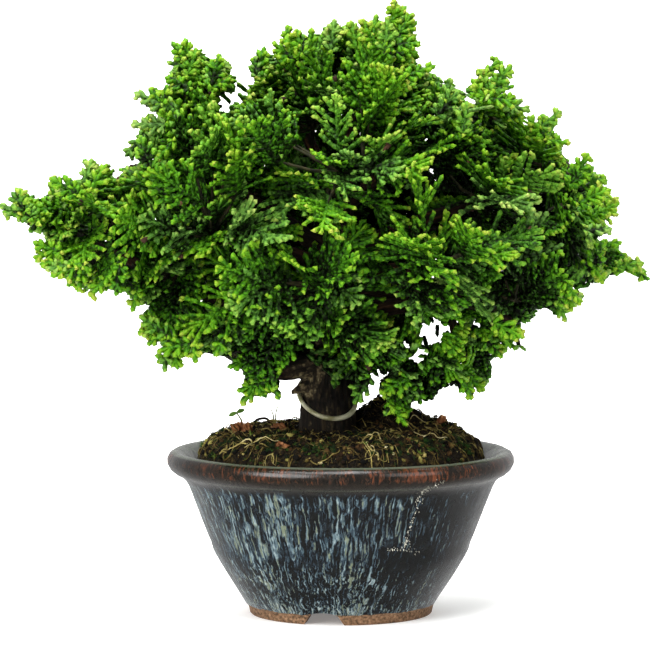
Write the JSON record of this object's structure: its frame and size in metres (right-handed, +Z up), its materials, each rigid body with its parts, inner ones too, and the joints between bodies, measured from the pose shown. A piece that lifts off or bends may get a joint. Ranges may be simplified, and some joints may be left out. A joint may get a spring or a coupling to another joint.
{
  "type": "potted bonsai tree",
  "caption": "Dwarf hinoki cypress grown as a bonsai, with dense fan-shaped sprays over a short thick trunk, in a round glazed stoneware pot on a notched foot ring.",
  "frame": {"origin": "centre of the pot's foot ring, on the surface that it stands on", "axes": "+Z up, +X to the right and -Y to the front of the tree"},
  "size_m": [0.2604, 0.1974, 0.2421],
  "materials": {
    "glaze": "glossy dark glaze with pale blue and olive drips over a bare clay foot",
    "soil": "loose dark grit and humus with green moss",
    "bark": "stringy grey-brown bark",
    "leaf": "fresh green scale leaves with a waxy sheen",
    "wire": "pale grey-green plastic coating on soft wire",
    "net": "black moulded netting"
  },
  "bodies": {
    "root": {"pot": "glaze", "drain_mesh": "net", "soil": "soil", "trunk_and_limbs": "bark", "tie_wire": "wire", "spray_left_low_1": "leaf", "spray_left_low_2": "leaf", "spray_left_low_3": "leaf", "spray_left_low_4": "leaf", "spray_left_low_5": "leaf", "spray_left_drop_1": "leaf", "spray_left_drop_2": "leaf", "spray_left_drop_3": "leaf", "spray_left_drop_4": "leaf", "spray_left_high_1": "leaf", "spray_left_high_2": "leaf", "spray_left_high_3": "leaf", "spray_left_high_4": "leaf", "spray_left_high_5": "leaf", "spray_left_high_6": "leaf", "spray_crown_left_1": "leaf", "spray_crown_left_2": "leaf", "spray_crown_left_3": "leaf", "spray_crown_1": "leaf", "spray_crown_2": "leaf", "spray_crown_3": "leaf", "spray_front_up_1": "leaf", "spray_front_up_2": "leaf", "spray_front_up_3": "leaf", "spray_right_top_1": "leaf", "spray_right_top_2": "leaf", "spray_right_top_3": "leaf", "spray_right_mid_1": "leaf", "spray_right_mid_2": "leaf", "spray_right_mid_3": "leaf", "spray_right_mid_4": "leaf", "spray_right_mid_5": "leaf", "spray_right_low_1": "leaf", "spray_right_low_2": "leaf", "spray_right_under_1": "leaf", "spray_right_under_2": "leaf", "spray_right_drop_1": "leaf", "spray_right_drop_2": "leaf", "spray_right_front_1": "leaf", "spray_right_front_2": "leaf", "spray_right_front_3": "leaf", "spray_front_1": "leaf", "spray_front_2": "leaf", "spray_front_3": "leaf", "spray_left_front_1": "leaf", "spray_sprig_1": "leaf", "spray_back_low_1": "leaf", "spray_back_low_2": "leaf", "spray_back_left_1": "leaf", "spray_back_left_2": "leaf", "spray_back_right_1": "leaf", "spray_back_right_2": "leaf", "spray_back_up_1": "leaf", "spray_back_up_2": "leaf", "spray_back_up_3": "leaf"}
  },
  "joints": []
}
